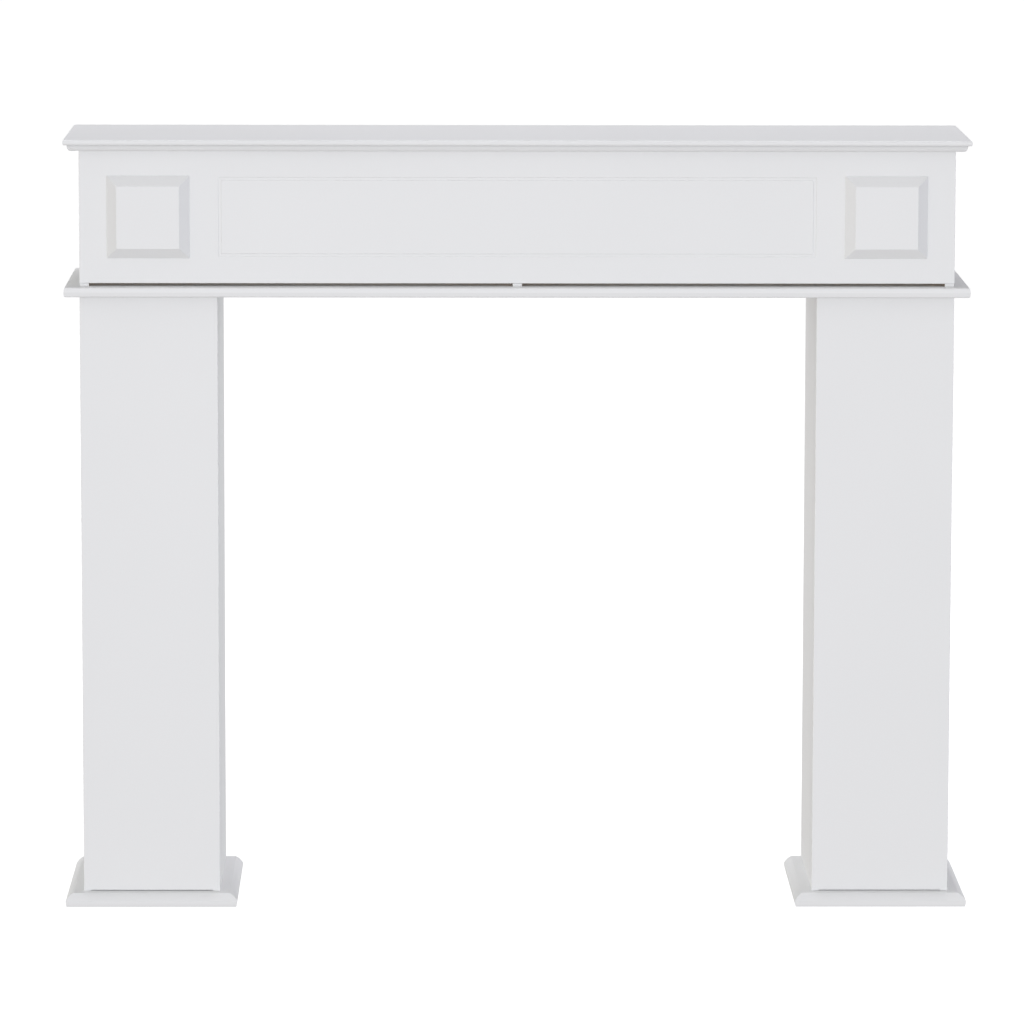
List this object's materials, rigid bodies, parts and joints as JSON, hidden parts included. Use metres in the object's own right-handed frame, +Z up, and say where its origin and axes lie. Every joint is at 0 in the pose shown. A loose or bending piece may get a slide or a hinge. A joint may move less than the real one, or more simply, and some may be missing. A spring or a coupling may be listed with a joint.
{
  "type": "fireplace mantel",
  "caption": "White painted fireplace mantel: panelled legs on moulded plinths carry a thin shelf, a frieze with bevelled square plaques and a moulded top shelf.",
  "frame": {"origin": "on the floor, under the middle of the footprint", "axes": "+X to the mantel's right as seen from the room, +Y towards the wall, +Z up"},
  "size_m": [1.103, 0.2426, 0.94],
  "materials": {
    "white_paint": "satin white paint on fibreboard"
  },
  "bodies": {
    "root": {"plinth_left": "white_paint", "plinth_right": "white_paint", "leg_left_front": "white_paint", "leg_left_outer_panel": "white_paint", "leg_left_inner_panel": "white_paint", "leg_right_front": "white_paint", "leg_right_inner_panel": "white_paint", "leg_right_outer_panel": "white_paint", "lower_shelf": "white_paint", "frieze_end_left": "white_paint", "frieze_end_right": "white_paint", "frieze_divider": "white_paint", "fascia": "white_paint", "plaque_left": "white_paint", "plaque_right": "white_paint", "top_shelf": "white_paint"}
  },
  "joints": []
}
